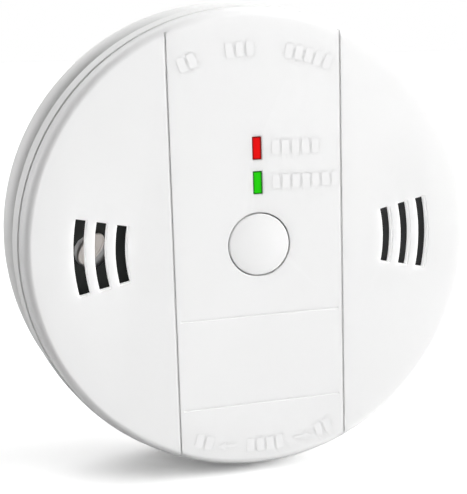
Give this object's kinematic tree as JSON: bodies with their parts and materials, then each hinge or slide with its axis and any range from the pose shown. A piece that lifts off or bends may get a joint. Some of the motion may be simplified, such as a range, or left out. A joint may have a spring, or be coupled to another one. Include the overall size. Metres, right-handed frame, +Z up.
{
  "type": "carbon monoxide alarm",
  "caption": "Round wall-mounted carbon monoxide alarm with arc vents, a central test button, two indicator lamps and a twist-lock wall plate.",
  "frame": {"origin": "centre of the wall plate's back plane, where it meets the wall", "axes": "+Z up, the face looks along -Y, and +Y points into the wall along the alarm's axis"},
  "size_m": [0.1078, 0.0278, 0.1078],
  "materials": {
    "cover_plastic": "fine moulded satin white",
    "button_plastic": "fine moulded satin white",
    "housing_plastic": "fine moulded satin white",
    "plate_plastic": "fine moulded satin white",
    "black_plastic": "satin black",
    "cream_plastic": "satin",
    "board": "dark solder mask",
    "red_lens": "tinted translucent",
    "green_lens": "tinted translucent",
    "steel": "nickel plated",
    "brass": "rolled",
    "copper": "enamelled winding",
    "ceramic": "silvered ceramic",
    "capacitor_sleeve": "shrink sleeve",
    "resistor_body": "lacquered",
    "cell_sleeve": "plain sleeve over a drawn can",
    "label_film": "blank printed film"
  },
  "bodies": {
    "wall_plate": {"mounting_plate": "plate_plastic"},
    "alarm": {"rear_housing": "housing_plastic", "front_cover": "cover_plastic", "circuit_board": "board", "tact_switch_body": "black_plastic", "microcontroller": "black_plastic", "smoothing_capacitor": "capacitor_sleeve", "timing_capacitor": "capacitor_sleeve", "step_up_coil": "copper", "driver_transistor": "black_plastic", "red_led": "red_lens", "green_led": "green_lens", "resistor_1": "resistor_body", "resistor_2": "resistor_body", "resistor_3": "resistor_body", "co_sensor_can": "steel", "co_sensor_cap": "cream_plastic", "co_sensor_inlet_mesh": "steel", "co_sensor_tag_rear": "steel", "co_sensor_tag_front": "steel", "buzzer_housing": "black_plastic", "buzzer_disc": "brass", "buzzer_ceramic": "ceramic", "battery_1": "cell_sleeve", "battery_2": "cell_sleeve", "battery_3": "cell_sleeve", "battery_spring_1": "steel", "battery_spring_2": "steel", "battery_spring_3": "steel", "contact_positive": "steel", "contact_negative": "steel", "contact_link_left": "steel", "contact_link_right": "steel", "board_screw_1": "steel", "board_screw_2": "steel", "board_screw_3": "steel", "cover_screw_1": "steel", "cover_screw_2": "steel", "cover_screw_3": "steel"},
    "button": {"test_button": "button_plastic"},
    "switch_plunger": {"tact_switch_plunger": "cream_plastic"},
    "door": {"battery_door": "housing_plastic", "rating_label": "label_film"}
  },
  "joints": [
    {"name": "twist_lock", "type": "hinge", "parent": "wall_plate", "child": "alarm", "pos_m": [0, 0, 0], "axis": [0, -1, 0], "range_deg": [0, 15]},
    {"name": "button_press", "type": "slide", "parent": "alarm", "child": "button", "axis": [0, 1, 0], "range_m": [0, 0.0008], "stiffness_N_per_m": 500},
    {"name": "plunger_press", "type": "slide", "parent": "alarm", "child": "switch_plunger", "axis": [0, 1, 0], "range_m": [0, 0.0004]},
    {"name": "battery_door_hinge", "type": "hinge", "parent": "alarm", "child": "door", "pos_m": [0, -0.0032, 0.0256], "axis": [1, 0, 0], "range_deg": [0, 100]}
  ],
  "couplings": [
    {"joint": "plunger_press", "follows": "button_press", "ratio": 0.5}
  ]
}
